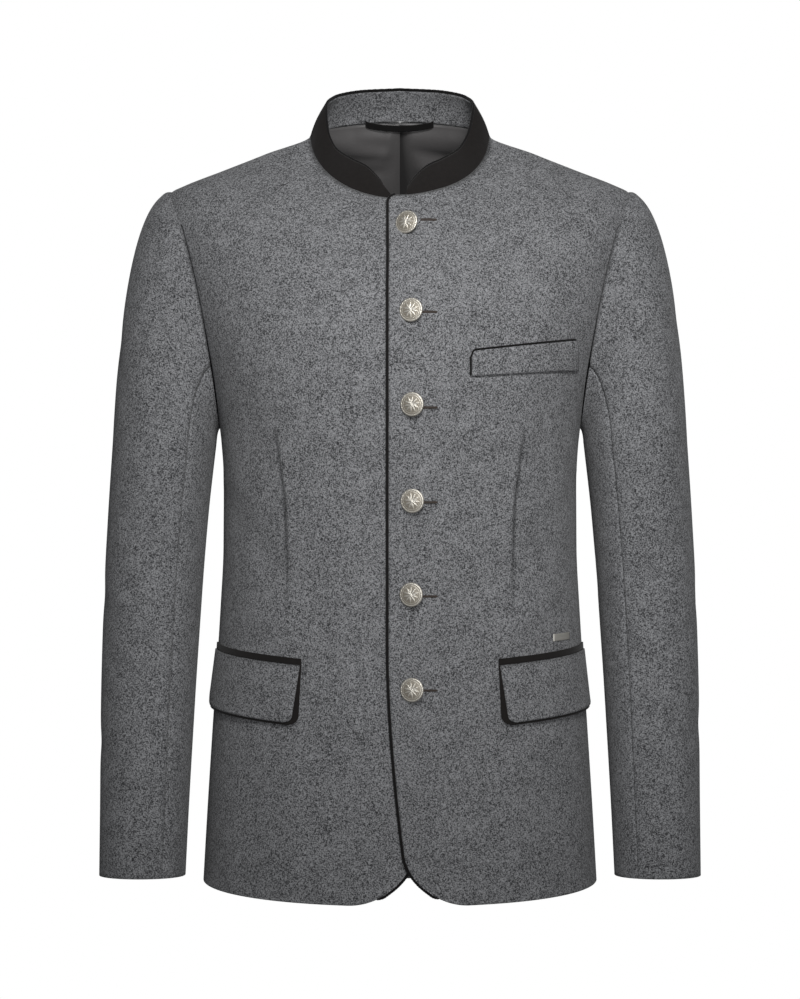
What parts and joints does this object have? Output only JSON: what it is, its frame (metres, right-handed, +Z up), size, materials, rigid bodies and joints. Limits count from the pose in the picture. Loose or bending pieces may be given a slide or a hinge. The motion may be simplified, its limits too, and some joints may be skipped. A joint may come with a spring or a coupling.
{
  "type": "tyrolean loden jacket",
  "caption": "Hip-length men's tyrolean jacket in grey loden with a black stand collar, metal buttons, breast welt and slanted flap pockets, filled out as worn",
  "frame": {"origin": "middle of the neck base, level with the sides of the neck seam, where the wearer's shoulders carry the jacket", "axes": "+Z up the back, the front faces -Y, +X to the wearer's left"},
  "size_m": [0.5784, 0.287, 0.7884],
  "materials": {
    "loden": "fulled grey melange wool, soft nap",
    "felt": "dense black wool felt, matt",
    "cord": "black twisted cord",
    "lining": "dark grey satin with a soft sheen",
    "loop_tape": "black woven tape",
    "silver": "antique silver, darkened in the hollows",
    "plate": "brushed pale metal"
  },
  "bodies": {
    "root": {"front_left": "loden", "back_left": "loden", "sleeve_top_left": "loden", "sleeve_under_left": "loden", "flap_left": "loden", "flap_backing_left": "felt", "pocket_jet_left": "felt", "front_piping_left": "cord", "lining_back_left": "lining", "front_right": "loden", "back_right": "loden", "sleeve_top_right": "loden", "sleeve_under_right": "loden", "flap_right": "loden", "flap_backing_right": "felt", "pocket_jet_right": "felt", "front_piping_right": "cord", "lining_back_right": "lining", "collar_outer": "felt", "collar_inner": "loden", "collar_piping": "cord", "breast_welt": "loden", "breast_welt_piping": "cord", "tag": "plate", "hanger_loop": "loop_tape", "button_1": "silver", "button_2": "silver", "button_3": "silver", "button_4": "silver", "button_5": "silver", "button_6": "silver"}
  },
  "joints": []
}
